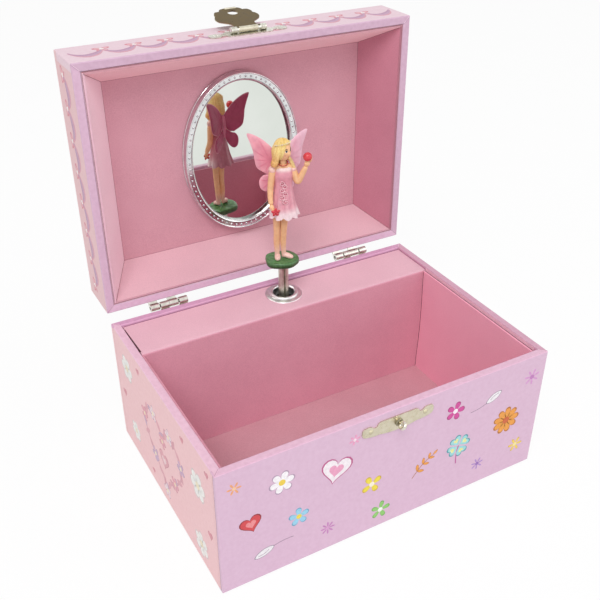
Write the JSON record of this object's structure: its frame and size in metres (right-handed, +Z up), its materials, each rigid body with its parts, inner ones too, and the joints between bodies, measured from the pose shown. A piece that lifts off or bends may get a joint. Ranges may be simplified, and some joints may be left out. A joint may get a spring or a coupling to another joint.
{
  "type": "wind-up music box",
  "caption": "Papered wooden musical jewellery box with a hinged lined lid, oval mirror, clasp, and a fairy on a spring post turned by a wind-up comb movement.",
  "frame": {"origin": "middle of the underside of the box, on the surface it stands on", "axes": "+Z up, +Y to the back where the lid hinges and the key is, +X to the right seen from the front"},
  "size_m": [0.152, 0.1464, 0.1783],
  "materials": {
    "printed_front": "printed paper wrap",
    "printed_side": "printed paper wrap",
    "printed_lid": "printed paper wrap",
    "base_board": "plain",
    "base_paper": "plain",
    "pink_flock": "flocked",
    "nickel": "nickel plated",
    "champagne_nickel": "nickel plated",
    "silver_plastic": "silver plated",
    "mirror_glass": "silvered",
    "foam_pad": "foam",
    "cast_plate": "nickel plated",
    "screw_steel": "zinc plated",
    "comb_steel": "ground",
    "brass": "turned",
    "nylon": "moulded",
    "spring_steel": "bright",
    "green_plastic": "painted",
    "painted_figure": "painted",
    "pink_wings": "translucent"
  },
  "bodies": {
    "box": {"front_panel": "printed_front", "back_panel": "printed_side", "left_panel": "printed_side", "right_panel": "printed_side", "base_board": "base_board", "base_sheet": "base_paper", "floor_pad": "pink_flock", "front_liner": "pink_flock", "left_liner": "pink_flock", "right_liner": "pink_flock", "movement_cover": "pink_flock", "eyelet": "nickel", "hinge_leaves_box": "nickel", "hinge_pins": "nickel", "box_tacks": "nickel", "catch_plate": "champagne_nickel", "bedplate": "cast_plate", "wood_screws": "screw_steel", "small_screws": "screw_steel", "comb": "comb_steel", "governor_bracket": "cast_plate", "clutch_spring": "screw_steel"},
    "lid": {"lid_top": "printed_lid", "lid_front_rail": "printed_lid", "lid_back_rail": "printed_lid", "lid_left_rail": "printed_lid", "lid_right_rail": "printed_lid", "lid_lining_centre": "pink_flock", "lid_lining_front": "pink_flock", "lid_lining_back": "pink_flock", "lid_lining_left": "pink_flock", "lid_lining_right": "pink_flock", "mirror_frame": "silver_plastic", "mirror_glass": "mirror_glass", "mirror_pad": "foam_pad", "hinge_leaves_lid": "nickel", "lid_tacks": "nickel", "clasp_plate": "champagne_nickel", "clasp_pin": "champagne_nickel"},
    "flap": {"clasp_flap": "champagne_nickel"},
    "staple": {"catch_staple": "champagne_nickel"},
    "key": {"winding_key": "nickel", "winding_arbor": "screw_steel"},
    "barrel": {"spring_barrel": "brass", "barrel_cap": "brass", "mainspring": "screw_steel"},
    "cylinder": {"cylinder_arbor": "screw_steel", "cylinder_wheel": "brass", "pin_cylinder": "brass", "spindle_ferrule": "brass"},
    "intermediate": {"intermediate_wheel": "brass"},
    "governor": {"governor_worm": "nylon", "governor_fan": "nylon"},
    "post": {"spring_post": "spring_steel"},
    "figure": {"figure_stand": "green_plastic", "figure_body": "painted_figure", "figure_wings": "pink_wings"}
  },
  "joints": [
    {"name": "lid_hinge", "type": "hinge", "parent": "box", "child": "lid", "pos_m": [0, 0.05725, 0.0609], "axis": [1, 0, 0], "range_deg": [0, 90.6]},
    {"name": "flap_swing", "type": "hinge", "parent": "lid", "child": "flap", "pos_m": [0.0005, 0.06654, 0.17406], "axis": [1, 0, 0], "range_deg": [0, 168]},
    {"name": "staple_turn", "type": "hinge", "parent": "box", "child": "staple", "pos_m": [0.0005, -0.055, 0.0542], "axis": [0, 1, 0], "range_deg": [0, 90]},
    {"name": "key_wind", "type": "hinge", "parent": "box", "child": "key", "pos_m": [0.002, 0.05, 0.016], "axis": [0, 1, 0], "range_deg": [0, 1620]},
    {"name": "cylinder_spin", "type": "hinge", "parent": "box", "child": "cylinder", "pos_m": [0.002, 0.0412, 0.043], "axis": [0, 0, 1], "continuous": true},
    {"name": "barrel_spin", "type": "hinge", "parent": "box", "child": "barrel", "pos_m": [0.002, 0.04, 0.016], "axis": [0, 1, 0], "continuous": true},
    {"name": "intermediate_spin", "type": "hinge", "parent": "box", "child": "intermediate", "pos_m": [-0.009, 0.0412, 0.031], "axis": [0, 0, 1], "continuous": true},
    {"name": "governor_spin", "type": "hinge", "parent": "box", "child": "governor", "pos_m": [-0.01534, 0.04, 0.02915], "axis": [0, 1, 0], "continuous": true},
    {"name": "figure_tilt", "type": "hinge", "parent": "box", "child": "post", "pos_m": [0.002, 0.0388, 0.0677], "axis": [1, 0, 0], "range_deg": [0, 102], "deforming": ["spring_post"]},
    {"name": "figure_spin", "type": "hinge", "parent": "post", "child": "figure", "pos_m": [0.002, 0.0412, 0.076], "axis": [0, 0, 1], "continuous": true}
  ],
  "couplings": [
    {"joint": "barrel_spin", "follows": "cylinder_spin", "ratio": -0.28571},
    {"joint": "intermediate_spin", "follows": "cylinder_spin", "ratio": -4},
    {"joint": "governor_spin", "follows": "cylinder_spin", "ratio": -96},
    {"joint": "figure_spin", "follows": "cylinder_spin", "ratio": 1},
    {"joint": "figure_tilt", "follows": "lid_hinge", "ratio": 1.1258}
  ]
}
